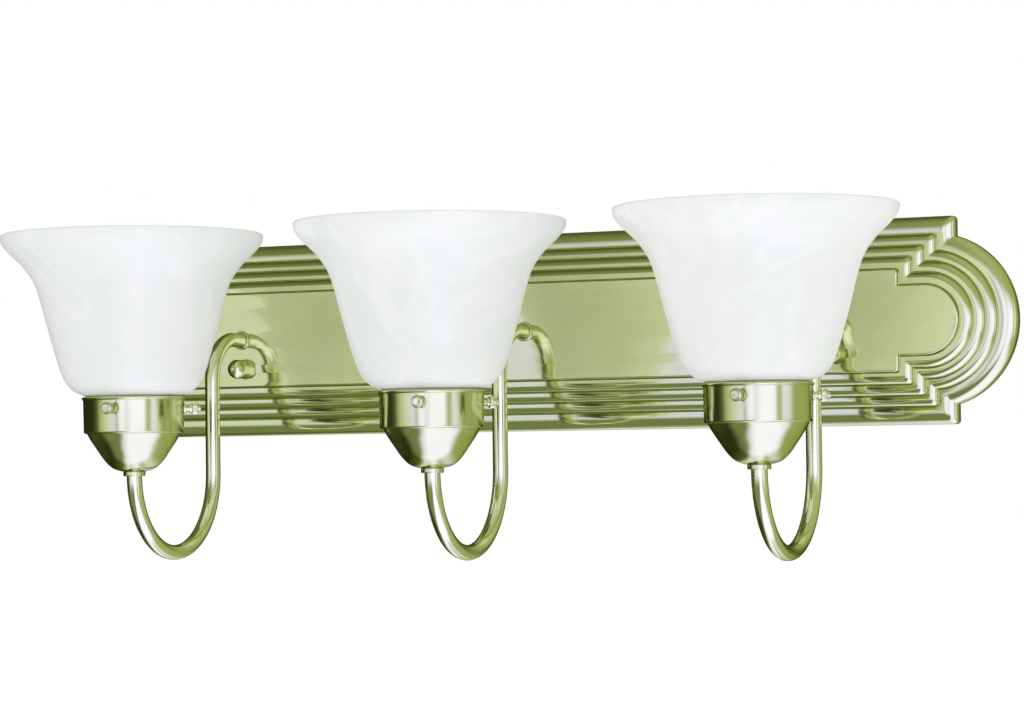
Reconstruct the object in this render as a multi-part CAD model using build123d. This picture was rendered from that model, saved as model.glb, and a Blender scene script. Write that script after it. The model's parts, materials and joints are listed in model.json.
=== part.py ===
"""Three-lamp vanity light bar: a stepped back plate on a wall bracket, three hooked arms and glass bell shades.

Units are millimetres. The wall is the plane y = 0, +X runs along the bar, +Z is up and -Y points into the room.
The origin is the centre of the back plate on the wall plane, which is also the centre of the outlet box.
Each sub-part is one STEP file in parts/, named after its node.
"""
from build123d import *
from math import cos, hypot, radians, sin
import os

# ---- Driving dimensions ----
LAMP_PITCH = 198.0              # spacing of the three lamps along the bar
LAMPS = {"left": -LAMP_PITCH, "centre": 0.0, "right": LAMP_PITCH}

# Back plate: a rectangle with shoulders and a round end on each side, stepped up to a flat panel.
PLATE_LENGTH = 609.6
PLATE_HEIGHT = 122.0
SHOULDER_X = 268.5              # half length of the rectangle
END_RADIUS = 51.5               # radius of the round ends
SHEET = 1.0                     # thickness of the pressed sheet
SHOULDER_ROUND = 2.4            # corner radius of the shoulders, seen from the front
# Terraces from the outline to the panel. Each has a front edge rounded to a quarter ellipse:
# how far in from the outline, how far out from the wall, and the ellipse's width and height.
TERRACES = [(0.0, 9.8, 8.4, 5.0), (10.7, 13.0, 4.4, 3.2), (17.2, 16.2, 4.4, 3.2), (23.7, 19.4, 4.4, 3.2),
            (31.0, 22.2, 0.9, 0.9)]
ROUND_FACETS = 3                # facets of each rounded edge
PANEL_FRONT = TERRACES[-1][1]   # the flat panel's distance from the wall
PANEL_BACK = PANEL_FRONT - SHEET

# Arms: a tube that leaves the panel, drops, turns up in a half circle and ends inside the shade holder.
ARM_OD = 9.2
ARM_ID = 7.0
ARM_BACK_LEG = 60.5             # distance of the rear leg from the wall
ARM_BEND = 27.0                 # centreline radius of the bend at the panel
ARM_REACH = 155.8               # distance of the lamp's axis from the wall
ARM_TURN_Z = -85.0              # height of the half circle's centre
ARM_INNER_END = 12.5            # the tube's inner end, from the wall
ARM_TOP_Z = -51.5               # the tube's upper end, inside the socket's base
COLLAR_R = 5.9                  # the collar on the panel: its radius there, in front, and how far it stands out
COLLAR_FRONT_R = 5.4
COLLAR_HEIGHT = 1.6
RUNNING = 0.06                  # radial clearance of a hole round what passes through it
THREAD_R = ARM_OD / 2 + RUNNING # nuts and sheet holes on the tube

# Cup, shade holder and lampholder, all turned about the lamp's axis.
CUP_BOTTOM_Z = -82.5
HOLDER_R = 29.9
HOLDER_TOP_Z = -37.7
HOLDER_FLOOR_Z = -59.0          # upper face of the holder's floor
SPUN = 0.8                      # thickness of the spun cup and holder
NUT_ACROSS_FLATS = 14.0
CUP_NUT_HEIGHT = 3.2
BRACKET = 1.2                   # thickness of the lampholder's bracket
SOCKET_R = 19.0
SOCKET_HEIGHT = 40.0
SHELL_R = 13.2                  # inside radius of the lampholder's screw shell, for a 26 mm lamp cap
SHELL_SHEET = 0.6
SHELL_DEPTH = 24.0

# Glass shade: a neck inside the holder, and the bell above it
GLASS = 3.2
NECK_R = 27.0
NECK_TOP_Z = -38.4
# Outer profile from the shoulder above the holder up to the rim: radius and height.
BELL = [(30.4, -36.6), (35.6, -34.2), (40.4, -29.0), (44.0, -20.5), (47.6, -8.5), (51.6, 6.0),
        (55.2, 20.0), (59.2, 31.5), (65.8, 41.0), (73.6, 48.6), (77.9, 54.0), (79.0, 58.0)]

# Thumb screws
SCREW_Z = -45.0
SCREW_R = 1.6
SCREW_TIP_R = NECK_R + 0.25     # the tip stops just short of the glass neck
SCREW_HEAD_R = 3.6
SCREW_HEAD_START = 33.2
SCREW_END = 38.8
SCREW_AZIMUTHS = {"front": 0.0, "right": 120.0, "left": 240.0}   # from the front, towards +X
HOLDER_TURN = {"left": 6.0, "centre": 13.0, "right": 1.0}        # each holder's own turn about the lamp's axis
BOSS_R = 3.0
BOSS_END = 31.3

# Wall bracket and the pieces that fasten the plate to it
BRACKET_LENGTH = 436.0
BRACKET_HEIGHT = 46.0
BRACKET_SHEET = 1.6
BOX_SLOT_SPACING = 79.4         # covers outlet box screws at 69.9 and 88.9 mm
BOX_SLOT_LENGTH = 14.0
BOX_SLOT_R = 2.25
ANCHOR_SPACING = 300.0
ANCHOR_Z = 12.0
ANCHOR_R = 2.5
FEED_HOLE_R = 17.0
STUD_X = LAMP_PITCH
STUD_Z = -18.5
STUD_R = 2.0
STUD_END = PANEL_FRONT + 8.5
CAP_NUT_R = 6.1
CAP_NUT_BARREL = 6.0

# Wiring behind the panel
WIRE_R = 1.05
WIRE_SIDE = 1.3                 # each lamp wire runs this far to one side of the tube's centre
# Per colour: side of the tube, depth of the run, height of the outer lamps' run and of the centre lamp's, connector's x.
WIRE_RUNS = {"black": (-1, 8.2, 22.0, 17.0, -30.0), "white": (1, 5.2, 17.0, 11.0, 30.0)}
WIRE_BEND = 4.0
WIRE_PITCH = 2.4                # spacing of the wires where they enter a connector
CONNECTOR_Z = 28.0              # open end of the twist-on connectors
CONNECTOR_DEPTH = 6.7           # distance of a connector's axis from the wall
GROUND_X = 66.0

os.makedirs("parts", exist_ok=True)


def save(shape, name):
    """Writes a node's solids as parts/NAME.step."""
    solids = shape.solids() if not isinstance(shape, list) else [s for part in shape for s in part.solids()]
    export_step(Compound(children=list(solids)) if len(solids) > 1 else solids[0], f"parts/{name}.step")


def at_lamps(shape):
    """One copy of a lamp's piece at each of the three lamps."""
    return [Pos(x, 0, 0) * shape for x in LAMPS.values()]


def turned(profile):
    """Revolves a face drawn in XZ (x is the radius) about the lamp's axis, and moves it to that axis."""
    return Pos(0, -ARM_REACH, 0) * revolve(profile, Axis.Z)


def ring_z(outer, inner, low, high):
    """A washer-like ring about the lamp's axis."""
    return turned(Plane.XZ * Pos((outer + inner) / 2, (low + high) / 2) * Rectangle(outer - inner, high - low))


def cylinder_y(radius, near, far):
    """A cylinder along Y between two distances from the wall, on the origin's axis."""
    return extrude(Plane.XZ.offset(near) * Circle(radius), far - near)


def hexagon(across):
    return RegularPolygon(across / 3 ** 0.5, 6)


# ---- Back plate ----
def plate_outline(inset):
    """The plate's outline, moved inwards by inset: the shouldered rectangle joined to the round-ended bar."""
    end_x = PLATE_LENGTH / 2 - END_RADIUS
    shouldered = Rectangle(2 * (SHOULDER_X - inset), PLATE_HEIGHT - 2 * inset)
    shouldered = fillet(shouldered.vertices(), SHOULDER_ROUND)
    return shouldered + SlotCenterToCenter(2 * end_x, 2 * (END_RADIUS - inset))


def stepped_block(shrink):
    """The solid stack of terraces, with every face moved inwards by shrink."""
    block = None
    for inset, out, width, height in TERRACES:
        terrace = extrude(Plane.XZ * plate_outline(inset + shrink), out - height)
        angles = [radians(90 * i / ROUND_FACETS) for i in range(ROUND_FACETS + 1)]
        rings = [Plane.XZ.offset(out - height + (height - shrink) * sin(angle))
                 * plate_outline(inset + width - (width - shrink) * cos(angle)) for angle in angles]
        for low, high in zip(rings, rings[1:]):
            terrace += loft([low, high], ruled=True)
        block = terrace if block is None else block + terrace
    return block


def make_back_plate():
    plate = stepped_block(0) - stepped_block(SHEET)
    for x in LAMPS.values():
        plate -= Pos(x, 0, 0) * cylinder_y(THREAD_R, PANEL_BACK - 1, PANEL_FRONT + 1)
    for x in (-STUD_X, STUD_X):
        plate -= Pos(x, 0, STUD_Z) * cylinder_y(STUD_R + 0.3, PANEL_BACK - 1, PANEL_FRONT + 1)
    return plate


# ---- Arms ----
def arm_path(inner_end, top_z, side=0.0):
    """The arm's centreline, or a line parallel to it that lies to one side."""
    bend_z = -ARM_BEND
    turn = (ARM_REACH - ARM_BACK_LEG) / 2
    turn_y = -ARM_BACK_LEG - turn
    slant = ARM_BEND * cos(radians(45))
    bend_y = -ARM_BACK_LEG + ARM_BEND
    return Wire([
        Line((side, -inner_end, 0), (side, bend_y, 0)),
        ThreePointArc((side, bend_y, 0), (side, bend_y - slant, bend_z + slant), (side, -ARM_BACK_LEG, bend_z)),
        Line((side, -ARM_BACK_LEG, bend_z), (side, -ARM_BACK_LEG, ARM_TURN_Z)),
        ThreePointArc((side, -ARM_BACK_LEG, ARM_TURN_Z), (side, turn_y, ARM_TURN_Z - turn),
                      (side, -ARM_REACH, ARM_TURN_Z)),
        Line((side, -ARM_REACH, ARM_TURN_Z), (side, -ARM_REACH, top_z)),
    ])


def make_arm():
    path = arm_path(ARM_INNER_END, ARM_TOP_Z)
    start = Plane(origin=path @ 0, z_dir=path % 0)
    return sweep(start * (Circle(ARM_OD / 2) - Circle(ARM_ID / 2)), path=path)


def make_wall_rings():
    """Slightly tapered collar round each arm on the front of the panel."""
    front = PANEL_FRONT + COLLAR_HEIGHT
    profile = Polyline((THREAD_R, PANEL_FRONT), (COLLAR_R, PANEL_FRONT), (COLLAR_R, PANEL_FRONT + 0.8),
                       (COLLAR_FRONT_R, front), (THREAD_R, front), close=True)
    face = make_face(profile)
    ring = Rot(90, 0, 0) * revolve(Plane.XZ * face, Axis.Z)
    return at_lamps(ring)


def make_lock_washers():
    washer = cylinder_y(9.0, PANEL_BACK - 1.0, PANEL_BACK) - cylinder_y(THREAD_R, 0, PANEL_FRONT)
    return at_lamps(washer)


def make_lock_nuts():
    front = PANEL_BACK - 1.0
    nut = extrude(Plane.XZ.offset(front - 4.0) * (hexagon(NUT_ACROSS_FLATS) - Circle(THREAD_R)), 4.0)
    return at_lamps(nut)


# ---- Cup and shade holder ----
def make_cup():
    """Spun bowl that hides the arm's end, open at the top under the holder's floor."""
    top = HOLDER_FLOOR_Z - SPUN
    outer = [(28.0, top), (25.4, -64.4), (21.4, -70.4), (17.2, -76.4), (12.6, -80.6), (7.2, CUP_BOTTOM_Z)]
    inner = [(r - SPUN * 0.85, z + SPUN * 0.55) for r, z in outer[1:-1]]
    outside = Spline(*outer)
    floor = CUP_BOTTOM_Z + SPUN
    inside = Spline((28.0 - SPUN, top), *inner, (7.2, floor))
    edges = [
        outside,
        Line((7.2, CUP_BOTTOM_Z), (THREAD_R, CUP_BOTTOM_Z)),
        Line((THREAD_R, CUP_BOTTOM_Z), (THREAD_R, floor)),
        Line((THREAD_R, floor), (7.2, floor)),
        inside,
        Line((28.0 - SPUN, top), (28.0, top)),
    ]
    return turned(Plane.XZ * make_face(edges))


def make_neck_ring():
    """Knurled ring nut below the cup, on the arm."""
    return ring_z(6.6, THREAD_R, CUP_BOTTOM_Z - 2.8, CUP_BOTTOM_Z)


def make_holder(turn):
    """Spun ring that holds the glass: floor, wall, rolled rim and three tapped bosses."""
    wall = ring_z(HOLDER_R, HOLDER_R - SPUN, HOLDER_FLOOR_Z - SPUN, HOLDER_TOP_Z - 1.0)
    floor = ring_z(HOLDER_R - SPUN / 2, THREAD_R, HOLDER_FLOOR_Z - SPUN, HOLDER_FLOOR_Z)
    rim = Pos(0, -ARM_REACH, 0) * Pos(0, 0, HOLDER_TOP_Z - 1.1) * Torus(HOLDER_R - 0.1, 1.1)
    holder = wall + floor + rim
    bottom = holder.edges().filter_by(GeomType.CIRCLE).sort_by(Axis.Z)
    outer_bottom = [e for e in bottom if e.radius > HOLDER_R - 0.01 and e.center().Z < HOLDER_FLOOR_Z]
    holder = fillet(outer_bottom, SPUN * 0.9)
    for azimuth in SCREW_AZIMUTHS.values():
        holder += radial(azimuth + turn) * extrude(Circle(BOSS_R), BOSS_END - HOLDER_R + SPUN / 2)
    for azimuth in SCREW_AZIMUTHS.values():
        drill = Pos(0, 0, -5) * extrude(Circle(SCREW_R + RUNNING), BOSS_END)
        holder -= radial(azimuth + turn) * drill
    return holder


def radial(azimuth, start=HOLDER_R - SPUN / 2):
    """A frame on the lamp's axis whose +Z points outwards at an azimuth, at the screws' height."""
    direction = (sin(radians(azimuth)), -cos(radians(azimuth)), 0)
    origin = (start * direction[0], -ARM_REACH + start * direction[1], SCREW_Z)
    return Plane(origin=origin, x_dir=(0, 0, 1), z_dir=direction)


def make_thumb_screw(azimuth):
    """Shank with a rounded tip, and a knurled head."""
    shank = extrude(Circle(SCREW_R), SCREW_HEAD_START - SCREW_TIP_R)
    shank = fillet(shank.edges().filter_by(GeomType.CIRCLE).sort_by(Axis.Z)[0], 0.5)
    head = Pos(0, 0, SCREW_HEAD_START - SCREW_TIP_R) * extrude(Circle(SCREW_HEAD_R), SCREW_END - SCREW_HEAD_START)
    head = chamfer(head.edges().filter_by(GeomType.CIRCLE), 0.6)
    return radial(azimuth, SCREW_TIP_R) * (shank + head)


# ---- Lampholder ----
def make_cup_nut():
    base = HOLDER_FLOOR_Z
    return Pos(0, -ARM_REACH, base) * extrude(hexagon(NUT_ACROSS_FLATS) - Circle(THREAD_R), CUP_NUT_HEIGHT)


def make_socket_bracket():
    base = HOLDER_FLOOR_Z + CUP_NUT_HEIGHT
    strip = SlotOverall(33, 13) - Circle(THREAD_R)
    for x in (-11, 11):
        strip -= Pos(x, 0) * Circle(1.6)
    return Pos(0, -ARM_REACH, base) * extrude(strip, BRACKET)


SOCKET_BASE_Z = HOLDER_FLOOR_Z + CUP_NUT_HEIGHT + BRACKET
SOCKET_TOP_Z = SOCKET_BASE_Z + SOCKET_HEIGHT
SHELL_TOP_Z = SOCKET_TOP_Z - 1.0


def make_socket_screws():
    """Two screws, up through the bracket into the porcelain."""
    head = Pos(0, 0, SOCKET_BASE_Z - BRACKET - 1.6) * extrude(Circle(2.7), 1.6)
    shank = Pos(0, 0, SOCKET_BASE_Z - BRACKET) * extrude(Circle(1.5), 9.0)
    screw = head + shank
    return [Pos(x, -ARM_REACH, 0) * screw for x in (-11, 11)]


def make_socket_body():
    """Glazed porcelain lampholder with a waist, bored for the screw shell and recessed under its base."""
    low, high = SOCKET_BASE_Z, SOCKET_TOP_Z
    bore = SHELL_R + SHELL_SHEET + 0.05
    profile = Polyline((6.0, low), (SOCKET_R - 3, low), (SOCKET_R - 3, low + 9), (SOCKET_R - 1.4, low + 11),
                       (SOCKET_R - 1.4, high - 9), (SOCKET_R, high - 7), (SOCKET_R, high - 1.2),
                       (SOCKET_R - 1.2, high), (bore, high), (bore, SHELL_TOP_Z - SHELL_DEPTH - 0.3),
                       (0, SHELL_TOP_Z - SHELL_DEPTH - 0.3), (0, low + 6), (6.0, low + 6), close=True)
    body = turned(Plane.XZ * make_face(profile))
    for x in (-11, 11):
        hole = Pos(x, -ARM_REACH, low - 1) * extrude(Circle(1.55), 9.0)
        body -= hole
    return body


def make_screw_shell():
    """Thin metal cup that takes the lamp cap, with a hole in its floor for the centre contact."""
    wall = ring_z(SHELL_R + SHELL_SHEET, SHELL_R, SHELL_TOP_Z - SHELL_DEPTH, SHELL_TOP_Z)
    floor = ring_z(SHELL_R + SHELL_SHEET / 2, 6.5, SHELL_TOP_Z - SHELL_DEPTH, SHELL_TOP_Z - SHELL_DEPTH + SHELL_SHEET)
    return wall + floor


def make_centre_contact():
    """Contact tongue on the floor of the lampholder, pressed flat as under a lamp."""
    z = SHELL_TOP_Z - SHELL_DEPTH - 0.3
    path = Polyline((-4.6, z), (4.6, z), (4.6, z + 0.4), (2.6, z + 0.4), (1.4, z + 0.85), (-1.4, z + 0.85),
                    (-2.6, z + 0.4), (-4.6, z + 0.4), close=True)
    tongue = extrude(Plane.XZ * make_face(path), 2.4, both=True)
    return Pos(0, -ARM_REACH, 0) * tongue


# ---- Glass shade ----
def offset_profile(points, thickness):
    """Points moved to the left of the direction of travel: here, towards the lamp's axis and up."""
    moved = []
    for i, (r, z) in enumerate(points):
        before, after = points[max(i - 1, 0)], points[min(i + 1, len(points) - 1)]
        dr, dz = after[0] - before[0], after[1] - before[1]
        length = hypot(dr, dz)
        moved.append((r - thickness * dz / length, z + thickness * dr / length))
    return moved


def make_shade_neck():
    """The straight neck, which stands on the holder's floor and runs on into the bell."""
    return ring_z(NECK_R, NECK_R - GLASS, HOLDER_FLOOR_Z + 0.1, NECK_TOP_Z)


def make_shade_bell():
    """The bell of even thickness above the neck."""
    inner = offset_profile(BELL[1:-1], GLASS)
    neck_in = NECK_R - GLASS
    rim_r, rim_z = BELL[-1]
    rim_in = (rim_r - GLASS, rim_z)
    edges = [
        Line((neck_in, NECK_TOP_Z), (NECK_R, NECK_TOP_Z)),
        Spline((NECK_R, NECK_TOP_Z), *BELL, tangents=[(0, 1), (0, 1)]),
        ThreePointArc((rim_r, rim_z), (rim_r - GLASS / 2, rim_z + GLASS / 2), rim_in),
        Spline(rim_in, *reversed(inner), (neck_in + 1.6, -35.0), (neck_in, NECK_TOP_Z), tangents=[(0, -1), (0, -1)]),
    ]
    return turned(Plane.XZ * make_face(edges))


# ---- Wall bracket, studs and cap nuts ----
def make_wall_bracket():
    sheet = fillet(Rectangle(BRACKET_LENGTH, BRACKET_HEIGHT).vertices(), 6)
    sheet -= Circle(FEED_HOLE_R)
    for x in (-BOX_SLOT_SPACING / 2, BOX_SLOT_SPACING / 2):
        sheet -= Pos(x, 0) * SlotOverall(BOX_SLOT_LENGTH, 2 * BOX_SLOT_R)
    for x in (-ANCHOR_SPACING / 2, ANCHOR_SPACING / 2):
        sheet -= Pos(x, ANCHOR_Z) * Circle(ANCHOR_R)
    for x in (-STUD_X, STUD_X):
        sheet -= Pos(x, STUD_Z) * Circle(STUD_R + RUNNING)
    sheet -= Pos(GROUND_X, 0) * Circle(2.0)
    return extrude(Plane.XZ * sheet, BRACKET_SHEET)


def make_studs():
    """Threaded studs, flush with the back of the bracket, which carry the plate."""
    stud = chamfer(cylinder_y(STUD_R, 0, STUD_END).edges().filter_by(GeomType.CIRCLE).sort_by(Axis.Y)[0], 0.5)
    return [Pos(x, 0, STUD_Z) * stud for x in (-STUD_X, STUD_X)]


def make_stud_nuts():
    nut = extrude(Plane.XZ.offset(BRACKET_SHEET) * (hexagon(7.0) - Circle(STUD_R + RUNNING)), 3.0)
    return [Pos(x, 0, STUD_Z) * nut for x in (-STUD_X, STUD_X)]


def make_cap_nut(x):
    """Barrel with a domed end and a blind hole for the stud."""
    seat = PANEL_FRONT
    barrel = cylinder_y(CAP_NUT_R, seat, seat + CAP_NUT_BARREL)
    dome = Pos(0, -(seat + CAP_NUT_BARREL), 0) * Sphere(CAP_NUT_R)
    flange = cylinder_y(CAP_NUT_R + 0.8, seat, seat + 1.0)
    nut = barrel + dome + flange
    return Pos(x, 0, STUD_Z) * (nut - cylinder_y(STUD_R + RUNNING, 0, STUD_END + 0.8))


# ---- Wiring ----
def make_lamp_wire(lamp, colour):
    """One conductor of a lamp: up the arm's bore, and from the tube's end along the plate to its connector."""
    side, depth, run_z, centre_run_z, connector_x = WIRE_RUNS[colour]
    lamp_x = LAMPS[lamp]
    mirrored = -1 if lamp == "right" else 1
    x = lamp_x + side * mirrored * WIRE_SIDE
    in_bore = Pos(lamp_x, 0, 0) * arm_path(ARM_INNER_END, SOCKET_BASE_Z + 6, side * mirrored * WIRE_SIDE)
    entry = {"left": -WIRE_PITCH, "centre": 0.0, "right": WIRE_PITCH}[lamp]
    height = centre_run_z if lamp == "centre" else run_z
    behind = FilletPolyline((x, -ARM_INNER_END, 0), (x, -depth, 0), (x, -depth, height),
                            (connector_x + entry, -depth, height), (connector_x + entry, -depth, CONNECTOR_Z + 5),
                            radius=[min(WIRE_BEND, ARM_INNER_END - depth - 0.1), WIRE_BEND, WIRE_BEND])
    tubes = []
    for path in (in_bore, behind):
        start = Plane(origin=path @ 0, z_dir=path % 0)
        tubes.append(sweep(start * Circle(WIRE_R), path=path))
    return tubes[0] + tubes[1]


def make_connector(x):
    """Twist-on connector: a ribbed cone, open below."""
    depth = CONNECTOR_DEPTH
    profile = Polyline((4.3, 0), (5.6, 0), (5.6, 2), (4.9, 3), (3.4, 17), (2.2, 18.5), (0, 18.5), (0, 8), (4.3, 8),
                       close=True)
    cone = revolve(Plane.XZ * make_face(profile), Axis.Z)
    return Pos(x, -depth, CONNECTOR_Z) * cone


def make_ground_screw():
    head = cylinder_y(3.6, BRACKET_SHEET + 1.0, BRACKET_SHEET + 3.2)
    return Pos(GROUND_X, 0, 0) * (head + cylinder_y(1.9, 0, BRACKET_SHEET + 1.0))


def make_ground_wire():
    """Bare wire from a ring tag under the ground screw to its connector."""
    near = BRACKET_SHEET
    tag = cylinder_y(4.6, near, near + 1.0) - cylinder_y(1.96, 0, near + 2)
    path = FilletPolyline((0, -near - 1.0, 4.0), (0, -near - 1.0, 22.0), (0, 2 - CONNECTOR_DEPTH, CONNECTOR_Z - 1),
                          (0, 2 - CONNECTOR_DEPTH, CONNECTOR_Z + 5), radius=6.0)
    start = Plane(origin=path @ 0, z_dir=path % 0)
    return Pos(GROUND_X, 0, 0) * (tag + sweep(start * Circle(0.8), path=path))


# ---- Write every node ----
save(make_back_plate(), "back_plate")
save(make_wall_bracket(), "wall_bracket")
save(make_studs(), "bracket_studs")
save(make_stud_nuts(), "stud_nuts")
save(make_cap_nut(-STUD_X), "cap_nut_left")
save(make_cap_nut(STUD_X), "cap_nut_right")
save(make_wall_rings(), "arm_wall_rings")
save(make_lock_washers(), "arm_lock_washers")
save(make_lock_nuts(), "arm_lock_nuts")
save(at_lamps(make_neck_ring()), "neck_rings")
save(at_lamps(make_cup_nut()), "holder_nuts")
save(at_lamps(make_socket_bracket()), "socket_brackets")
save([Pos(x, 0, 0) * screw for x in LAMPS.values() for screw in make_socket_screws()], "socket_screws")
save(at_lamps(make_centre_contact()), "centre_contacts")
save(make_ground_screw(), "ground_screw")
save(make_ground_wire(), "ground_wire")
save(make_connector(GROUND_X), "wire_connector_ground")
for colour in WIRE_RUNS:
    save(make_connector(WIRE_RUNS[colour][4]), f"wire_connector_{colour}")
LAMP_PIECES = {"arm": make_arm(), "cup": make_cup(), "shade": make_shade_bell(), "shade_neck": make_shade_neck(),
               "socket_body": make_socket_body(), "screw_shell": make_screw_shell()}
for lamp, lamp_x in LAMPS.items():
    for piece, shape in LAMP_PIECES.items():
        save(Pos(lamp_x, 0, 0) * shape, f"{piece}_{lamp}")
    turn = HOLDER_TURN[lamp]
    save(Pos(lamp_x, 0, 0) * make_holder(turn), f"shade_holder_{lamp}")
    for place, azimuth in SCREW_AZIMUTHS.items():
        save(Pos(lamp_x, 0, 0) * make_thumb_screw(azimuth + turn), f"thumb_screw_{lamp}_{place}")
    for colour in WIRE_RUNS:
        save(make_lamp_wire(lamp, colour), f"wire_{colour}_{lamp}")
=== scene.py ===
"""Vanity light bar: satin nickel back plate, three hooked arms and three upturned bell shades of alabaster glass.

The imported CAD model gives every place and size. This script adds the finished surfaces: smooth pressed and turned
metal, blown glass, knurling and threads, the materials, and a plain studio. Profiles are in millimetres.
"""
import json
import math

import bmesh
import bpy
from mathutils import Matrix, Vector, geometry


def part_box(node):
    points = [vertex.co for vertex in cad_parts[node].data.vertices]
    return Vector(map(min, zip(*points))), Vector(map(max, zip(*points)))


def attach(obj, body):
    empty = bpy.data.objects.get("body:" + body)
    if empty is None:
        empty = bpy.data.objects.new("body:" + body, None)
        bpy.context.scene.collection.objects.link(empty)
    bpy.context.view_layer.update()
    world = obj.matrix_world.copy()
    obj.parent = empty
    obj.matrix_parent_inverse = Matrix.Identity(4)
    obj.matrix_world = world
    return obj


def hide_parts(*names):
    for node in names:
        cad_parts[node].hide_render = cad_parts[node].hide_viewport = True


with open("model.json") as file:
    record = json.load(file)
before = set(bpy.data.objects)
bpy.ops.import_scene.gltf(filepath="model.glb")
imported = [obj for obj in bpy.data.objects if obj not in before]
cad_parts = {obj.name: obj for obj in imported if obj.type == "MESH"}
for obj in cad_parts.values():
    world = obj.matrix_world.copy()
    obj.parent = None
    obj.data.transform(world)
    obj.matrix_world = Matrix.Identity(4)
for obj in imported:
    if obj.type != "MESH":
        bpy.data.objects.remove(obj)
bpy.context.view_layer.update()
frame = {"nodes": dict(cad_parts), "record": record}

MM = 0.001

# ---- Places, from the CAD model ----
LAMPS = ("left", "centre", "right")


def middle(node):
    """Centre of a CAD node's box, in millimetres."""
    low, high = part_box(node)
    return (low + high) / 2 / MM


LAMP_X = {lamp: middle(f"cup_{lamp}").x for lamp in LAMPS}
LAMP_Y = middle("cup_left").y
STUD_X = middle("cap_nut_right").x
STUD_Z = middle("cap_nut_right").z
STUD_HOLE_R = 2.3

# ---- Driving dimensions, the same as the CAD model's ----
PLATE_LENGTH = 609.6
PLATE_HEIGHT = 122.0
SHOULDER_X = 268.5
SHOULDER_ROUND = 2.4
END_RADIUS = 51.5
SHEET = 1.0
TERRACES = [(0.0, 9.8, 8.4, 5.0), (10.7, 13.0, 4.4, 3.2), (17.2, 16.2, 4.4, 3.2), (23.7, 19.4, 4.4, 3.2),
            (31.0, 22.2, 0.9, 0.9)]
PANEL_FRONT = TERRACES[-1][1]
HOLE_SEGMENTS = 32
ARM_OD = 9.2
ARM_ID = 7.0
ARM_BACK_LEG = 60.5
ARM_BEND = 27.0
ARM_TURN_Z = -85.0
ARM_INNER_END = 12.5
ARM_TOP_Z = -51.5
THREAD_R = ARM_OD / 2 + 0.06    # radius of the holes the arm passes through
COLLAR_R = 5.9
COLLAR_FRONT_R = 5.4
COLLAR_HEIGHT = 1.6
CUP_BOTTOM_Z = -82.5
RING_NUT_R = 6.6
RING_NUT_HEIGHT = 2.8
HOLDER_R = 29.9
HOLDER_TOP_Z = -37.7
HOLDER_FLOOR_Z = -59.0
SPUN = 0.8
SCREW_Z = -45.0
SCREW_HOLE_R = 1.66
SOCKET_BASE_Z = -54.6
SOCKET_TOP_Z = SOCKET_BASE_Z + 40.0
SHELL_TOP_Z = SOCKET_TOP_Z - 1.0
SHELL_DEPTH = 24.0
GLASS = 3.2
NECK_R = 27.0
BELL = [(30.4, -36.6), (35.6, -34.2), (40.4, -29.0), (44.0, -20.5), (47.6, -8.5), (51.6, 6.0),
        (55.2, 20.0), (59.2, 31.5), (65.8, 41.0), (73.6, 48.6), (77.9, 54.0), (79.0, 58.0)]
SCREW_AZIMUTHS = {"front": 0.0, "right": 120.0, "left": 240.0}
HOLDER_TURN = {"left": 6.0, "centre": 13.0, "right": 1.0}

# ---- Camera: it stands to the right, slightly below, and looks left and a little up ----
CAMERA_PLACE = (0.7495, -1.7287, -0.0763)
CAMERA_YAW, CAMERA_PITCH, CAMERA_ROLL = 0.418, 0.032, -0.013
CAMERA_LENS = 106.7


# ---- Mesh helpers ----
def smooth_mesh(name, points, faces, sharp_angle=32.0):
    """A mesh object from points in millimetres, smooth except where its faces meet at a sharp angle."""
    mesh = bpy.data.meshes.new(name)
    mesh.from_pydata([Vector(p) * MM for p in points], [], faces)
    tidy = bmesh.new()
    tidy.from_mesh(mesh)
    bmesh.ops.remove_doubles(tidy, verts=tidy.verts, dist=1e-7)
    bmesh.ops.dissolve_degenerate(tidy, edges=tidy.edges, dist=1e-7)
    bmesh.ops.recalc_face_normals(tidy, faces=tidy.faces)
    tidy.to_mesh(mesh)
    tidy.free()
    mesh.shade_smooth()
    mesh.set_sharp_from_angle(angle=math.radians(sharp_angle))
    piece = bpy.data.objects.new(name, mesh)
    bpy.context.scene.collection.objects.link(piece)
    return piece


def strip_faces(rows, around, first=0, close_rows=False):
    """Quads between rows of points, each row a closed ring of the same number of points."""
    faces = []
    for row in range(rows if close_rows else rows - 1):
        here = first + row * around
        there = first + (row + 1) % rows * around
        for i in range(around):
            j = (i + 1) % around
            faces.append((here + i, here + j, there + j, there + i))
    return faces


def turned_points(profile, segments, shape=None):
    """Rings of a closed profile of (radius, height) turned about Z; shape may change a point at its angle."""
    points = []
    for radius, height in profile:
        for i in range(segments):
            angle = 2 * math.pi * i / segments
            r, h = shape(radius, height, angle) if shape else (radius, height)
            points.append((r * math.cos(angle), r * math.sin(angle), h))
    return points


def turned(name, profile, places, segments=96, shape=None, sharp_angle=32.0):
    """A turned piece at each place, which is a matrix that takes its own Z axis to where it stands."""
    own = turned_points(profile, segments, shape)
    points = []
    faces = []
    for place in places:
        faces += strip_faces(len(profile), segments, len(points), close_rows=True)
        points += [place @ Vector(p) for p in own]
    return smooth_mesh(name, points, faces, sharp_angle)


def lamp_axis(lamp):
    return Matrix.Translation((LAMP_X[lamp], LAMP_Y, 0))


def out_of_panel(x, z):
    """A frame on the wall plane whose Z axis points into the room."""
    return Matrix.Translation((x, 0, z)) @ Matrix.Rotation(math.radians(90), 4, "X")


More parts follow.
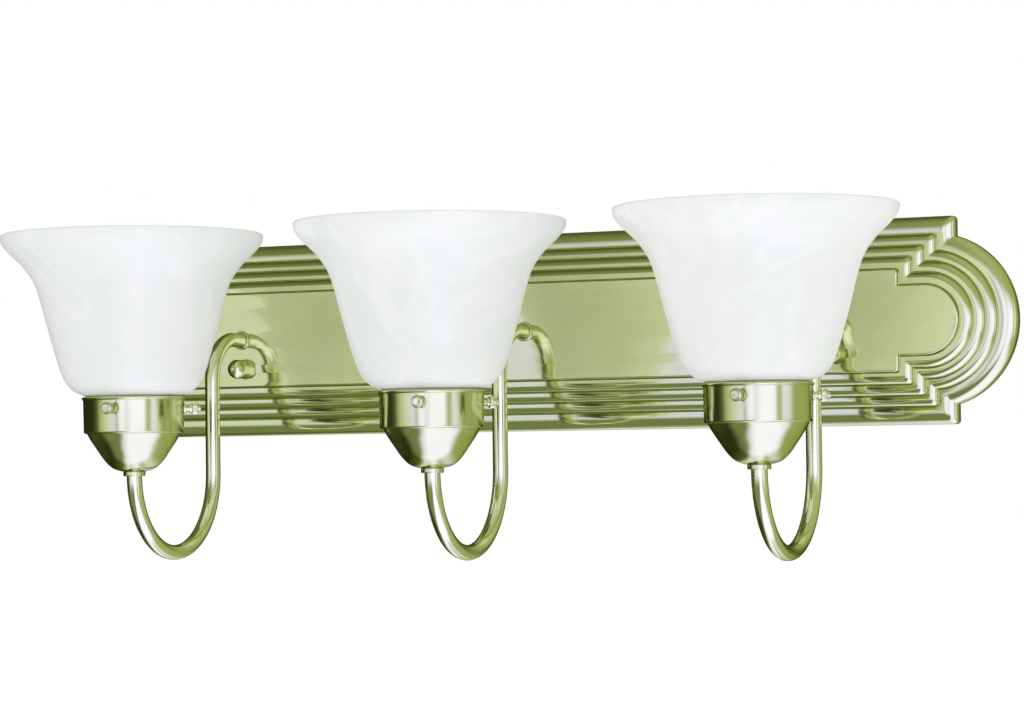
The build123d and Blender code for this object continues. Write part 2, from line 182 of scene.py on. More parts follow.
def outwards(lamp, azimuth):
    """A frame on a lamp's axis at the thumb screws' height, its Z axis pointing outwards at a screw's azimuth."""
    turn = Matrix.Rotation(math.radians(azimuth + HOLDER_TURN[lamp]), 4, "Z")
    level = Matrix.Rotation(math.radians(90), 4, "X")
    return Matrix.Translation((LAMP_X[lamp], LAMP_Y, SCREW_Z)) @ (turn @ level)


def through(points, steps=6):
    """A smooth line through the points: a centripetal Catmull-Rom curve, steps to a span."""
    ends = [tuple(2 * a - b for a, b in zip(points[0], points[1]))]
    tail = [tuple(2 * a - b for a, b in zip(points[-1], points[-2]))]
    full = ends + list(points) + tail
    line = []
    for p0, p1, p2, p3 in zip(full, full[1:], full[2:], full[3:]):
        for step in range(steps):
            t = step / steps
            line.append(tuple(0.5 * (2 * b + (c - a) * t + (2 * a - 5 * b + 4 * c - d) * t ** 2
                                     + (3 * b - a - 3 * c + d) * t ** 3)
                              for a, b, c, d in zip(p0, p1, p2, p3)))
    return line + [tuple(points[-1])]


def offset_line(line, distance):
    """The line moved to its left."""
    moved = []
    for i, (r, z) in enumerate(line):
        before = line[max(i - 1, 0)]
        after = line[min(i + 1, len(line) - 1)]
        dr, dz = after[0] - before[0], after[1] - before[1]
        length = math.hypot(dr, dz)
        moved.append((r - distance * dz / length, z + distance * dr / length))
    return moved


def rounded(profile, radius, steps=4):
    """A closed profile with its corners rounded."""
    result = []
    count = len(profile)
    for i, corner in enumerate(profile):
        here = Vector(corner)
        before = Vector(profile[i - 1]) - here
        after = Vector(profile[(i + 1) % count]) - here
        reach = min(radius, before.length * 0.45, after.length * 0.45)
        start = here + before.normalized() * reach
        end = here + after.normalized() * reach
        for step in range(steps + 1):
            t = step / steps
            point = start * (1 - t) ** 2 + here * 2 * t * (1 - t) + end * t ** 2
            result.append((point.x, point.y))
    return result


# ---- Material helpers ----
def add(tree, kind, inputs=None, **settings):
    """A node with its settings and inputs; an input may be a value or another node's socket."""
    node = tree.nodes.new(kind)
    for key, value in settings.items():
        setattr(node, key, value)
    for key, value in (inputs or {}).items():
        if isinstance(value, bpy.types.NodeSocket):
            tree.links.new(value, node.inputs[key])
        else:
            node.inputs[key].default_value = value
    return node


def ramp(tree, factor, stops, interpolation="LINEAR"):
    """A colour ramp through (position, colour) stops; returns its colour socket."""
    node = add(tree, "ShaderNodeValToRGB", {"Fac": factor})
    node.color_ramp.interpolation = interpolation
    elements = node.color_ramp.elements
    while len(elements) > 1:
        elements.remove(elements[-1])
    elements[0].position, elements[0].color = stops[0][0], (*stops[0][1], 1)
    for position, colour in stops[1:]:
        elements.new(position).color = (*colour, 1)
    return node.outputs["Color"]


def new_material(name):
    """A material with its Principled shader and tree."""
    material = bpy.data.materials.new(name)
    material.use_nodes = True
    tree = material.node_tree
    return material, tree, tree.nodes["Principled BSDF"]


def noise_value(tree, coords, scale, detail=3.0, roughness=0.5, distortion=0.0):
    node = add(tree, "ShaderNodeTexNoise", {"Vector": coords, "Scale": scale, "Detail": detail,
                                            "Roughness": roughness, "Distortion": distortion})
    return node.outputs["Fac"]


def span(tree, value, low, high, from_low=0.3, from_high=0.7):
    """Maps a value from one range to another, clamped."""
    node = add(tree, "ShaderNodeMapRange", {"Value": value, "From Min": from_low, "From Max": from_high,
                                            "To Min": low, "To Max": high})
    return node.outputs["Result"]


def object_coords(tree, stretch=(1.0, 1.0, 1.0)):
    coords = add(tree, "ShaderNodeTexCoord").outputs["Object"]
    return add(tree, "ShaderNodeMapping", {"Vector": coords, "Scale": stretch}).outputs["Vector"]


def bump(tree, height, distance, strength=1.0):
    return add(tree, "ShaderNodeBump", {"Height": height, "Distance": distance, "Strength": strength}).outputs["Normal"]


NICKEL = (0.72, 0.77, 0.41)
NICKEL_EDGE = (0.50, 0.55, 0.25)
# The arms' nickel: the plate's satin nickel painted lighter and paler, a painted highlight for the arms' brighter look.
TUBE_NICKEL_PAINTED_LIGHT = (0.86, 0.89, 0.55)


def nickel(name, roughness, stretch, grain, colour=NICKEL):
    """Satin nickel with a green-gold cast. The grain's noise is stretched along the brushing direction."""
    material, tree, shader = new_material(name)
    coords = object_coords(tree)
    cloud = noise_value(tree, coords, 28.0, 4.0, 0.6)
    dark = tuple(0.94 * c for c in colour)
    shader.inputs["Metallic"].default_value = 1.0
    shader.inputs["Specular Tint"].default_value = (*NICKEL_EDGE, 1)
    tree.links.new(ramp(tree, cloud, [(0.3, dark), (0.7, colour)]), shader.inputs["Base Color"])
    fine = noise_value(tree, object_coords(tree, stretch), 900.0, 3.0, 0.6)
    tree.links.new(span(tree, fine, roughness * 0.85, roughness * 1.25), shader.inputs["Roughness"])
    tree.links.new(bump(tree, fine, grain * MM), shader.inputs["Normal"])
    return material


def coated(name, colour, roughness, tint=0.9, scale=60.0, relief=0.02):
    """Painted, moulded or glazed surface with slight mottling and orange peel."""
    material, tree, shader = new_material(name)
    coords = object_coords(tree)
    cloud = noise_value(tree, coords, scale, 3.0)
    tree.links.new(ramp(tree, cloud, [(0.3, tuple(tint * c for c in colour)), (0.7, colour)]),
                   shader.inputs["Base Color"])
    tree.links.new(span(tree, cloud, roughness * 0.85, roughness * 1.15), shader.inputs["Roughness"])
    tree.links.new(bump(tree, noise_value(tree, coords, scale * 12), relief * MM), shader.inputs["Normal"])
    return material


def bare_metal(name, colour, roughness, spangle):
    """Plain plated or bare metal with blotches of a given scale."""
    material, tree, shader = new_material(name)
    shader.inputs["Metallic"].default_value = 1.0
    coords = object_coords(tree)
    blotch = add(tree, "ShaderNodeTexVoronoi", {"Vector": coords, "Scale": spangle}).outputs["Color"]
    grey = add(tree, "ShaderNodeRGBToBW", {"Color": blotch}).outputs["Val"]
    tree.links.new(ramp(tree, grey, [(0.2, tuple(0.86 * c for c in colour)), (0.8, colour)]),
                   shader.inputs["Base Color"])
    tree.links.new(span(tree, grey, roughness * 0.8, roughness * 1.25, 0.2, 0.8), shader.inputs["Roughness"])
    tree.links.new(bump(tree, noise_value(tree, coords, 700.0), 0.01 * MM), shader.inputs["Normal"])
    return material


def alabaster(name):
    """Opal white glass with soft clouds and drawn-out veins."""
    material, tree, shader = new_material(name)
    coords = object_coords(tree, (1.0, 1.0, 0.7))
    clouds = noise_value(tree, coords, 9.0, 5.0, 0.55, 1.6)
    veins = noise_value(tree, coords, 11.0, 2.0, 0.45, 2.5)
    tones = [(0.32, (0.785, 0.82, 0.795)), (0.50, (0.83, 0.845, 0.835)), (0.68, (0.87, 0.873, 0.873))]
    shade = ramp(tree, clouds, tones, "EASE")
    streak = ramp(tree, veins, [(0.52, (0, 0, 0)), (0.60, (1, 1, 1)), (0.68, (0, 0, 0))], "EASE")
    strength = add(tree, "ShaderNodeMath", {0: streak, 1: 0.30}, operation="MULTIPLY").outputs["Value"]
    mixed = add(tree, "ShaderNodeMixRGB", {"Fac": strength, "Color1": shade, "Color2": (0.93, 0.93, 0.935, 1)})
    tree.links.new(mixed.outputs["Color"], shader.inputs["Base Color"])
    shader.inputs["Subsurface Weight"].default_value = 0.35
    shader.inputs["Subsurface Radius"].default_value = (0.012, 0.012, 0.012)
    shader.inputs["Subsurface Scale"].default_value = 1.0
    shader.inputs["Coat Weight"].default_value = 0.25
    shader.inputs["Coat Roughness"].default_value = 0.25
    tree.links.new(span(tree, clouds, 0.38, 0.48), shader.inputs["Roughness"])
    tree.links.new(bump(tree, noise_value(tree, coords, 30.0, 2.0), 0.25 * MM), shader.inputs["Normal"])
    return material


# ---- Camera ----
def make_camera():
    yaw, pitch, roll = CAMERA_YAW, CAMERA_PITCH, CAMERA_ROLL
    forward = Vector((-math.sin(yaw) * math.cos(pitch), math.cos(yaw) * math.cos(pitch), math.sin(pitch)))
    level = Vector((math.cos(yaw), math.sin(yaw), 0))
    upright = level.cross(forward)
    right = math.cos(roll) * level + math.sin(roll) * upright
    up = right.cross(forward)
    data = bpy.data.cameras.new("camera")
    data.sensor_width = 36.0
    data.lens = CAMERA_LENS
    camera = bpy.data.objects.new("camera", data)
    camera.matrix_world = Matrix((right, up, -forward)).transposed().to_4x4()
    camera.location = CAMERA_PLACE
    bpy.context.scene.collection.objects.link(camera)
    bpy.context.scene.camera = camera


# ---- Studio ----
def make_world():
    """White surroundings to the eye and to plain surfaces. Polished metal mirrors a soft box and dimmer walls."""
    world = bpy.data.worlds.new("studio")
    bpy.context.scene.world = world
    world.use_nodes = True
    tree = world.node_tree
    tree.nodes.clear()
    direction = add(tree, "ShaderNodeTexCoord").outputs["Generated"]
    axes = add(tree, "ShaderNodeSeparateXYZ", {"Vector": direction}).outputs
    front = add(tree, "ShaderNodeMath", {0: axes["Y"], 1: -1.0}, operation="MULTIPLY").outputs["Value"]
    azimuth = add(tree, "ShaderNodeMath", {0: axes["X"], 1: front}, operation="ARCTAN2").outputs["Value"]
    turn = add(tree, "ShaderNodeMapRange", {"Value": azimuth, "From Min": -math.pi, "From Max": math.pi}).outputs[0]

    def at(degrees):
        return 0.5 + degrees / 360.0

    white = (1.34, 1.26, 2.26)
    pale = (1.08, 1.02, 1.76)
    grey = (0.86, 0.86, 1.21)
    panel_side = (0.93, 0.89, 1.62)
    panel_edge = (0.82, 0.84, 0.86)
    mid = (0.53, 0.58, 0.42)
    leaf = (0.42, 0.47, 0.22)
    shady = (0.22, 0.26, 0.13)
    murky = (0.11, 0.135, 0.046)
    dark = (0.03, 0.033, 0.013)
    level = ramp(tree, turn, [(at(-180), dark), (at(-74), dark), (at(-62), murky), (at(-50), mid),
                              (at(-34), panel_edge), (at(-18), panel_side), (at(-12), panel_side), (at(-8), leaf),
                              (at(-5), pale), (at(5), white), (at(14), pale), (at(26), white), (at(54), white),
                              (at(61), mid), (at(67), mid), (at(74), pale), (at(90), grey), (at(100), leaf),
                              (at(145), leaf), (at(165), murky), (at(180), dark)])

    def along(x, y):
        """How far the direction points along a level one."""
        dot = add(tree, "ShaderNodeVectorMath", {0: direction, 1: (x, y, 0)}, operation="DOT_PRODUCT")
        return dot.outputs["Value"]

    def share(value, start, end):
        node = add(tree, "ShaderNodeMapRange", {"Value": value, "From Min": start, "From Max": end},
                   interpolation_type="SMOOTHSTEP")
        return node.outputs["Result"]

    def blend(factor, first, second):
        return add(tree, "ShaderNodeMixRGB", {"Fac": factor, "Color1": first, "Color2": second}).outputs["Color"]

    downwards = add(tree, "ShaderNodeMath", {0: axes["Z"], 1: -1.0}, operation="MULTIPLY").outputs["Value"]
    sideways = along(math.cos(CAMERA_YAW), math.sin(CAMERA_YAW))
    lean = add(tree, "ShaderNodeMath", {0: sideways, 1: downwards}, operation="ARCTAN2").outputs["Value"]
    lean = add(tree, "ShaderNodeMapRange", {"Value": lean, "From Min": -math.pi, "From Max": math.pi}).outputs[0]
    low_front = ramp(tree, lean, [(at(-27), shady), (at(-18), pale), (at(-8), white), (at(34), white),
                                  (at(50), pale), (at(62), mid), (at(72), leaf)])
    low_back = ramp(tree, lean, [(at(-75), murky), (at(-45), dark), (at(-24), murky), (at(-18), mid), (at(-14), pale),
                                 (at(-8), grey), (at(-3), pale), (at(3), white), (at(9), grey), (at(14), mid),
                                 (at(22), grey), (at(30), grey), (at(44), leaf)])
    low = blend(share(along(-math.sin(CAMERA_YAW), math.cos(CAMERA_YAW)), -0.15, 0.15), low_front, low_back)
    high = ramp(tree, turn, [(at(-60), murky), (at(-31), (0.21, 0.24, 0.11)), (at(-17), (0.33, 0.36, 0.21)),
                             (at(20), (0.50, 0.54, 0.37)), (at(100), leaf)])
    lower = blend(share(axes["Z"], -0.12, -0.35), level, low)
    mirrored = blend(share(axes["Z"], 0.07, 0.42), lower, high)
    path = add(tree, "ShaderNodeLightPath").outputs
    plain = add(tree, "ShaderNodeBackground", {"Color": (1, 1, 1, 1), "Strength": 1.0}).outputs["Background"]
    fill = add(tree, "ShaderNodeBackground", {"Color": (0.985, 1.0, 0.99, 1), "Strength": 0.92}).outputs["Background"]
    gloss = add(tree, "ShaderNodeBackground", {"Color": mirrored, "Strength": 1.0}).outputs["Background"]
    lit = add(tree, "ShaderNodeMixShader", {"Fac": path["Is Glossy Ray"], 1: fill, 2: gloss}).outputs["Shader"]
    seen = add(tree, "ShaderNodeMixShader", {"Fac": path["Is Camera Ray"], 1: lit, 2: plain}).outputs["Shader"]
    add(tree, "ShaderNodeOutputWorld", {"Surface": seen})


def make_light(name, place, target, size, power):
    """A soft area light that metal doesn't mirror."""
    data = bpy.data.lights.new(name, "AREA")
    data.shape = "SQUARE"
    data.size = size
    data.energy = power
    light = bpy.data.objects.new(name, data)
    light.location = place
    light.rotation_euler = (Vector(target) - Vector(place)).to_track_quat("-Z", "Y").to_euler()
    light.visible_glossy = False
    light.visible_camera = False
    bpy.context.scene.collection.objects.link(light)


def make_studio():
    make_world()
    make_light("key", (1.2, -1.2, 1.6), (0.2, -0.1, 0), 1.4, 2.0)
    material, _, shader = new_material("stage_floor")
    shader.inputs["Base Color"].default_value = (0.95, 0.95, 0.95, 1)
    shader.inputs["Roughness"].default_value = 0.9
    shader.inputs["Emission Color"].default_value = (1, 1, 1, 1)
    shader.inputs["Emission Strength"].default_value = 0.25
    half, low = 30.0, -0.9
    mesh = bpy.data.meshes.new("floor")
    corners = [(-half, -half, low), (half, -half, low), (half, half, low), (-half, half, low)]
    mesh.from_pydata(corners, [], [(0, 1, 2, 3)])
    floor = bpy.data.objects.new("floor", mesh)
    floor.data.materials.append(material)
    floor.visible_glossy = False
    bpy.context.scene.collection.objects.link(floor)
    bpy.context.scene.view_settings.view_transform = "Standard"


# ---- Back plate ----
def plate_outline(inset):
    """Points (x, z) round the plate's outline moved inwards; every inset gives the same number of points."""
    top = PLATE_HEIGHT / 2 - inset
    side = SHOULDER_X - inset
    radius = END_RADIUS - inset
    end_x = PLATE_LENGTH / 2 - END_RADIUS
    quarter = [(t / 10 * (side - SHOULDER_ROUND), top) for t in range(10)]
    for step in range(7):
        angle = math.radians(90 - 15 * step)
        quarter.append((side - SHOULDER_ROUND * (1 - math.cos(angle)), top - SHOULDER_ROUND * (1 - math.sin(angle))))
    beyond = max(side - end_x, 0.0)
    inner_z = math.sqrt(radius ** 2 - beyond ** 2)
    quarter += [(side, (top - SHOULDER_ROUND) * (1 - t / 4) + inner_z * t / 4) for t in range(1, 4)]
    straight = max(end_x - side, 0.0)
    sweep = math.asin(inner_z / radius)
    length = straight + sweep * radius
    for step in range(33):
        along = length * step / 32
        if along < straight:
            quarter.append((side + along, radius))
        else:
            angle = sweep - (along - straight) / radius
            quarter.append((end_x + radius * math.cos(angle), radius * math.sin(angle)))
    right = quarter + [(x, -z) for x, z in reversed(quarter[:-1])]
    return right + [(-x, z) for x, z in reversed(right[1:-1])]


def plate_profile(shrink):
    """(inset, distance from the wall) from the rim to the panel, for the front, or moved in for the back."""
    profile = [(shrink, 0.0)]
    for inset, out, width, height in TERRACES:
        if inset and not shrink:
            foot = profile[-1][1]
            profile += [(inset - 0.8, foot), (inset - 0.45, foot - 0.5), (inset, foot - 0.6)]
        elif inset:
            profile.append((inset + shrink, profile[-1][1]))
        for step in range(9):
            angle = math.radians(90 * step / 8)
            profile.append((inset + width - (width - shrink) * math.cos(angle),
                            out - height + (height - shrink) * math.sin(angle)))
    return profile


def make_back_plate():
    """The pressed sheet: front and back skins, joined at the rim and in the holes for arms and studs."""
    points = []
    faces = []
    around = len(plate_outline(0))
    panels = []
    for shrink in (0.0, SHEET):
        profile = plate_profile(shrink)
        faces += strip_faces(len(profile), around, len(points))
        for inset, depth in profile:
            points += [(x, -depth, z) for x, z in plate_outline(inset)]
        panels.append(list(range(len(points) - around, len(points))))
    rim_front, rim_back = 0, len(plate_profile(0)) * around
    faces += [(rim_front + i, rim_back + i, rim_back + (i + 1) % around, rim_front + (i + 1) % around)
              for i in range(around)]
    holes = [(LAMP_X[lamp], 0.0, THREAD_R) for lamp in LAMPS]
    holes += [(x, STUD_Z, STUD_HOLE_R) for x in (-STUD_X, STUD_X)]
    hole_rings = []
    for panel, depth in zip(panels, (PANEL_FRONT, PANEL_FRONT - SHEET)):
        rings = [panel]
        for x, z, radius in holes:
            first = len(points)
            angles = [2 * math.pi * i / HOLE_SEGMENTS for i in range(HOLE_SEGMENTS)]
            points += [(x + radius * math.cos(a), -depth, z + radius * math.sin(a)) for a in angles]
            rings.append(list(range(first, first + HOLE_SEGMENTS)))
        flat = [[Vector((points[i][0], points[i][2], 0)) for i in ring] for ring in rings]
        index = [i for ring in rings for i in ring]
        faces += [tuple(index[corner] for corner in triangle) for triangle in geometry.tessellate_polygon(flat)]
        hole_rings.append(rings[1:])
    for front, back in zip(*hole_rings):
        faces += [(front[i], back[i], back[(i + 1) % HOLE_SEGMENTS], front[(i + 1) % HOLE_SEGMENTS])
                  for i in range(HOLE_SEGMENTS)]
    plate = smooth_mesh("plate_pressing", points, faces, 28.0)
    finish(plate, "fixture", "plate_nickel", ["back_plate"])


# ---- Arms ----
def arm_line():
    """Points and tangents of the arm's centreline in its own plane, as (y, z)."""
    line = []

    def straight(y0, z0, y1, z1, steps):
        direction = Vector((y1 - y0, z1 - z0)).normalized()
        for step in range(steps):
            t = step / steps
            line.append((y0 + (y1 - y0) * t, z0 + (z1 - z0) * t, direction.x, direction.y))

    def arc(centre_y, centre_z, radius, start, stop, steps):
        way = 1 if stop > start else -1
        for step in range(steps):
            angle = math.radians(start + (stop - start) * step / steps)
            line.append((centre_y + radius * math.cos(angle), centre_z + radius * math.sin(angle),
                         -way * math.sin(angle), way * math.cos(angle)))

    turn = (-LAMP_Y - ARM_BACK_LEG) / 2
    bend_y = -ARM_BACK_LEG + ARM_BEND
    straight(-ARM_INNER_END, 0, bend_y, 0, 2)
    arc(bend_y, -ARM_BEND, ARM_BEND, 90, 180, 24)
    straight(-ARM_BACK_LEG, -ARM_BEND, -ARM_BACK_LEG, ARM_TURN_Z, 3)
    arc(-ARM_BACK_LEG - turn, ARM_TURN_Z, turn, 0, -180, 48)
    straight(LAMP_Y, ARM_TURN_Z, LAMP_Y, ARM_TOP_Z, 3)
    line.append((LAMP_Y, ARM_TOP_Z, 0, 1))
    return line


def make_arm(lamp):
    around = 40
    line = arm_line()
    points = []
    for radius, stretch in ((ARM_OD / 2, line), (ARM_ID / 2, line[::-1])):
        for y, z, ty, tz in stretch:
            for i in range(around):
                angle = 2 * math.pi * i / around
                across = radius * math.cos(angle)
                up = radius * math.sin(angle)
                points.append((LAMP_X[lamp] + across, y - tz * up, z + ty * up))
    faces = strip_faces(2 * len(line), around, close_rows=True)
    arm = smooth_mesh(f"arm_tube_{lamp}", points, faces)
    finish(arm, "fixture", "tube_nickel", [f"arm_{lamp}"])


def finish(piece, body, slot, nodes):
    """Gives a piece the material of its slot and its body, and hides the CAD nodes it stands for."""
    piece.data.materials.append(MATERIALS[slot])
    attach(piece, body)
    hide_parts(*nodes)


# ---- Cup, holder and screws ----
def make_collars():
    """Turned collars where the arms leave the panel, and plain ring nuts under the cups."""
    front = PANEL_FRONT + COLLAR_HEIGHT
    profile = rounded([(THREAD_R, PANEL_FRONT), (COLLAR_R, PANEL_FRONT), (COLLAR_R, PANEL_FRONT + 0.8),
                       (COLLAR_FRONT_R, front), (THREAD_R, front)], 0.4)
    collars = turned("arm_collars", profile, [out_of_panel(LAMP_X[lamp], 0) for lamp in LAMPS], 64)
    finish(collars, "fixture", "trim_nickel", ["arm_wall_rings"])
    low = CUP_BOTTOM_Z - RING_NUT_HEIGHT
    profile = rounded([(THREAD_R, low), (RING_NUT_R, low), (RING_NUT_R, CUP_BOTTOM_Z), (THREAD_R, CUP_BOTTOM_Z)], 0.5)
    rings = turned("cup_ring_nuts", profile, [lamp_axis(lamp) for lamp in LAMPS], 96)
    finish(rings, "fixture", "trim_nickel", ["neck_rings"])


def knurl(ridges, depth, from_radius):
    """Straight knurling: ridges round everything outside from_radius."""
    def shape(radius, height, angle):
        if radius < from_radius:
            return radius, height
        return radius - depth * (0.5 + 0.5 * math.cos(ridges * angle)), height
    return shape


def make_cup(lamp):
    top = HOLDER_FLOOR_Z - SPUN
    outer = through([(28.0, top), (25.4, -64.4), (21.4, -70.4), (17.2, -76.4), (12.6, -80.6), (7.2, CUP_BOTTOM_Z)])
    inner = offset_line(outer, -SPUN)
    inner[0] = (28.0 - SPUN, top)
    profile = outer + [(THREAD_R, CUP_BOTTOM_Z), (THREAD_R, CUP_BOTTOM_Z + SPUN)] + inner[::-1]
    cup = turned(f"cup_spun_{lamp}", profile, [lamp_axis(lamp)])
    finish(cup, "fixture", "spun_nickel", [f"cup_{lamp}"])


def make_holder(lamp):
    """The spun ring that holds the glass, with its rolled rim, ledge and three bosses."""
    low = HOLDER_FLOOR_Z - SPUN
    rim = [(HOLDER_R - 0.1 + 1.1 * math.cos(math.radians(a)), HOLDER_TOP_Z - 1.1 + 1.1 * math.sin(math.radians(a)))
           for a in range(-70, 251, 20)]
    ledge = [(HOLDER_R - 1.3 + 1.3 * math.sin(math.radians(a)), low + 1.3 - 1.3 * math.cos(math.radians(a)))
             for a in range(0, 91, 15)]
    inside = [(HOLDER_R - SPUN, HOLDER_TOP_Z - 2.4), (HOLDER_R - SPUN, HOLDER_FLOOR_Z), (THREAD_R, HOLDER_FLOOR_Z)]
    profile = [(THREAD_R, low)] + ledge + rim + inside
    holder = turned(f"holder_spun_{lamp}", profile, [lamp_axis(lamp)], 120)
    start, end, boss_r = 28.4, 31.3, 3.0
    boss = rounded([(SCREW_HOLE_R, start), (boss_r, start), (boss_r, end), (SCREW_HOLE_R, end)], 0.4)
    drill = [(0.001, 20.0), (SCREW_HOLE_R, 20.0), (SCREW_HOLE_R, 40.0), (0.001, 40.0)]
    for azimuth in SCREW_AZIMUTHS.values():
        for operation, profile in (("UNION", boss), ("DIFFERENCE", drill)):
            tool = turned("tool", profile, [outwards(lamp, azimuth)], 40)
            cut = holder.modifiers.new("cut", "BOOLEAN")
            cut.operation = operation
            cut.object = tool
            cut.solver = "EXACT"
            bake(holder)
            bpy.data.objects.remove(tool)
    holder.data.shade_smooth()
    holder.data.set_sharp_from_angle(angle=math.radians(32))
    finish(holder, "fixture", "spun_nickel", [f"shade_holder_{lamp}"])


def bake(piece):
    """Replaces a piece's mesh by what its modifiers make of it."""
    bpy.context.view_layer.update()
    evaluated = piece.evaluated_get(bpy.context.evaluated_depsgraph_get())
    piece.data = bpy.data.meshes.new_from_object(evaluated)
    piece.modifiers.clear()


def make_thumb_screw(lamp, side, azimuth):
    """A knurled thumb screw with a dished end."""
    tip, head, end = 27.25, 33.2, 38.8
    profile = [(0.01, tip), (1.1, tip), (1.6, tip + 0.5), (1.6, head)]
    profile += [(2.4, head), (2.4, head + 1.5), (3.3, head + 1.75), (3.6, head + 2.2), (3.6, end - 0.9),
                (3.2, end - 0.25), (2.7, end)]
    profile += [(2.2, end), (1.9, end - 0.35), (0.01, end - 0.5)]
    screw = turned(f"thumb_screw_knurled_{lamp}_{side}", profile, [outwards(lamp, azimuth)], 96, knurl(24, 0.3, 3.4))
    body = f"thumb_screw_{lamp}_{side}"
    finish(screw, body, "trim_nickel", [body])


def make_cap_nut(side, x):
    """Turned cap nut with a flange, a barrel and a domed end."""
    radius, barrel = 6.1, PANEL_FRONT + 6.0
    dome = [(radius * math.cos(math.radians(a)), barrel + radius * math.sin(math.radians(a))) for a in range(0, 85, 6)]
    profile = [(2.06, PANEL_FRONT), (6.9, PANEL_FRONT), (6.9, PANEL_FRONT + 1.0), (radius, PANEL_FRONT + 1.0)] + dome
    profile += [(0.01, barrel + radius), (0.01, PANEL_FRONT + 9.3), (2.06, PANEL_FRONT + 9.3)]
    nut = turned(f"cap_nut_turned_{side}", profile, [out_of_panel(x, STUD_Z)], 72)
    finish(nut, f"cap_nut_{side}", "trim_nickel", [f"cap_nut_{side}"])


# ---- Lampholders ----
def make_socket(lamp):
    """Porcelain body, and a screw shell whose wall is rolled into a thread."""
    low, high = SOCKET_BASE_Z, SOCKET_TOP_Z
    bore = 13.85
    recess = SHELL_TOP_Z - SHELL_DEPTH - 0.3
    profile = rounded([(6.0, low), (16.0, low), (16.0, low + 9), (17.6, low + 11), (17.6, high - 9), (19.0, high - 7),
                       (19.0, high), (bore, high)], 0.9)
    profile += [(bore, recess), (0.01, recess), (0.01, low + 6), (6.0, low + 6)]
    body = turned(f"socket_porcelain_{lamp}", profile, [lamp_axis(lamp)], 96)
    finish(body, "fixture", "porcelain", [f"socket_body_{lamp}"])
    pitch, crest = 3.6, 0.25
    floor = SHELL_TOP_Z - SHELL_DEPTH
    rows = 60

    def threaded(radius, height, angle):
        if height < floor + 2.0 or height > SHELL_TOP_Z - 1.0:
            return radius, height
        return radius - crest + crest * math.cos(2 * math.pi * height / pitch - angle), height

    wall = [floor + 0.6 + (SHELL_TOP_Z - floor - 0.6) * i / rows for i in range(rows + 1)]
    profile = [(13.8, z) for z in wall] + [(13.4, z) for z in wall[::-1]]
    profile = [(6.5, floor), (13.8, floor)] + profile + [(6.5, floor + 0.6)]
    shell = turned(f"screw_shell_rolled_{lamp}", profile, [lamp_axis(lamp)], 96, threaded)
    finish(shell, "fixture", "contact_brass", [f"screw_shell_{lamp}"])


# ---- Glass shades ----
def make_shade(lamp):
    """Blown bell: a straight neck, a flaring body and a rounded rim, of even thickness with slight unevenness."""
    neck_low = HOLDER_FLOOR_Z + 0.1
    outer = through([(NECK_R, -41.0), (NECK_R, -38.4)] + BELL, 8)
    inner = offset_line(outer, GLASS)
    rim_r, rim_z = BELL[-1]
    rim = [(rim_r - GLASS / 2 + GLASS / 2 * math.cos(math.radians(a)), rim_z + GLASS / 2 * math.sin(math.radians(a)))
           for a in range(15, 180, 15)]
    inner[-1] = (rim_r - GLASS, rim_z)
    neck_in = NECK_R - GLASS
    inner = [(max(r, neck_in), z) for r, z in inner]
    profile = [(NECK_R, neck_low + 0.6), (NECK_R, -50.0)] + outer + rim + inner[::-1]
    profile += [(neck_in, -50.0), (neck_in, neck_low + 0.6), (neck_in + 0.6, neck_low), (NECK_R - 0.6, neck_low)]
    phase = LAMPS.index(lamp) * 1.7

    def uneven(radius, height, angle):
        share = min(max((height + 30) / 88.0, 0.0), 1.0)
        wave = 0.5 + 0.25 * math.sin(3 * angle + phase) + 0.25 * math.sin(5 * angle - 2 * phase)
        return radius * (1 - 0.006 * share * wave), height

    shade = turned(f"shade_glass_{lamp}", profile, [lamp_axis(lamp)], 144, uneven, 60.0)
    finish(shade, f"shade_{lamp}", "alabaster_glass", [f"shade_{lamp}", f"shade_neck_{lamp}"])


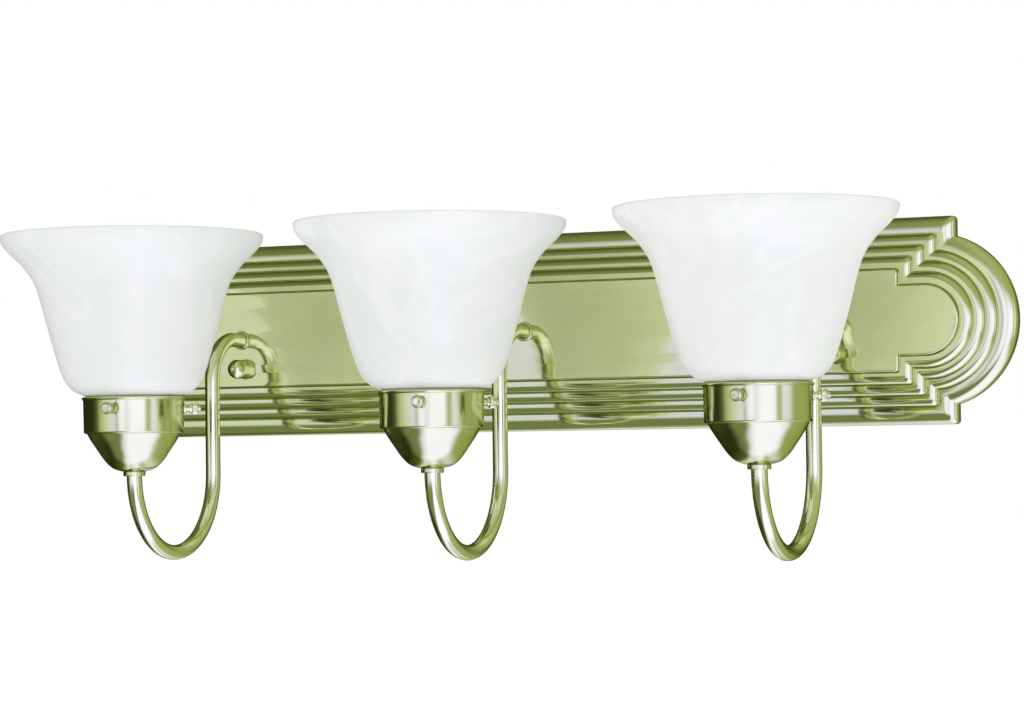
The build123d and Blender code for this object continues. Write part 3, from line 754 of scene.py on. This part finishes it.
# ---- Wiring ----
def make_connector(name):
    """Fluted twist-on connector, open below."""
    low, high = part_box(f"wire_connector_{name}")
    place = Matrix.Translation(((low.x + high.x) / 2 / MM, (low.y + high.y) / 2 / MM, low.z / MM))
    profile = [(4.3, 0), (5.3, 0), (5.6, 0.4), (5.6, 1.8), (4.95, 2.8), (4.6, 5.5), (4.2, 9.0), (3.8, 13.0),
               (3.4, 17.0), (2.9, 18.1), (1.8, 18.5), (0.01, 18.5), (0.01, 8.0), (4.3, 8.0)]

    def fluted(radius, height, angle):
        if 2.9 < height < 17.5 and radius > 3.0:
            return radius - 0.35 * (0.5 + 0.5 * math.cos(12 * angle)), height
        return radius, height

    connector = turned(f"connector_fluted_{name}", profile, [place], 96, fluted)
    finish(connector, "fixture", "connector_plastic", [f"wire_connector_{name}"])


# ---- Materials ----
MATERIALS = {
    "plate_nickel": nickel("nickel_plate", 0.09, (0.05, 1.0, 1.0), 0.004),
    # The arms use the plate's nickel painted lighter and paler: painted highlight.
    "tube_nickel": nickel("nickel_tube_painted_light", 0.13, (1.0, 1.0, 0.2), 0.003, TUBE_NICKEL_PAINTED_LIGHT),
    "trim_nickel": nickel("nickel_trim", 0.12, (1.0, 1.0, 1.0), 0.004),
    "spun_nickel": nickel("nickel_spun", 0.13, (0.08, 0.08, 1.0), 0.005),
    "zinc_steel": bare_metal("zinc_steel", (0.62, 0.62, 0.60), 0.38, 260.0),
    "alabaster_glass": alabaster("alabaster_glass"),
    "porcelain": coated("porcelain", (0.86, 0.85, 0.81), 0.16, 0.97, 40.0, 0.01),
    "contact_brass": bare_metal("contact_brass", (0.82, 0.62, 0.28), 0.25, 300.0),
    "green_paint": bare_metal("green_screw", (0.10, 0.36, 0.14), 0.35, 400.0),
    "bare_copper": bare_metal("bare_copper", (0.80, 0.42, 0.26), 0.30, 500.0),
    "black_insulation": coated("black_insulation", (0.022, 0.022, 0.024), 0.42),
    "white_insulation": coated("white_insulation", (0.78, 0.77, 0.73), 0.42),
    "connector_plastic": coated("connector_plastic", (0.78, 0.30, 0.03), 0.40),
}


def dress_cad_nodes():
    """CAD nodes that stay in view get the material of their slot."""
    slots = {part["node"]: part["material_slot"] for part in frame["record"]["subparts"]}
    for node, piece in frame["nodes"].items():
        if piece.hide_render:
            continue
        piece.data.materials.clear()
        piece.data.materials.append(MATERIALS[slots[node]])


make_camera()
make_studio()
make_back_plate()
make_collars()
for lamp in LAMPS:
    make_arm(lamp)
    make_cup(lamp)
    make_holder(lamp)
    make_socket(lamp)
    make_shade(lamp)
    for side, azimuth in SCREW_AZIMUTHS.items():
        make_thumb_screw(lamp, side, azimuth)
make_cap_nut("left", -STUD_X)
make_cap_nut("right", STUD_X)
for name in ("black", "white", "ground"):
    make_connector(name)
dress_cad_nodes()
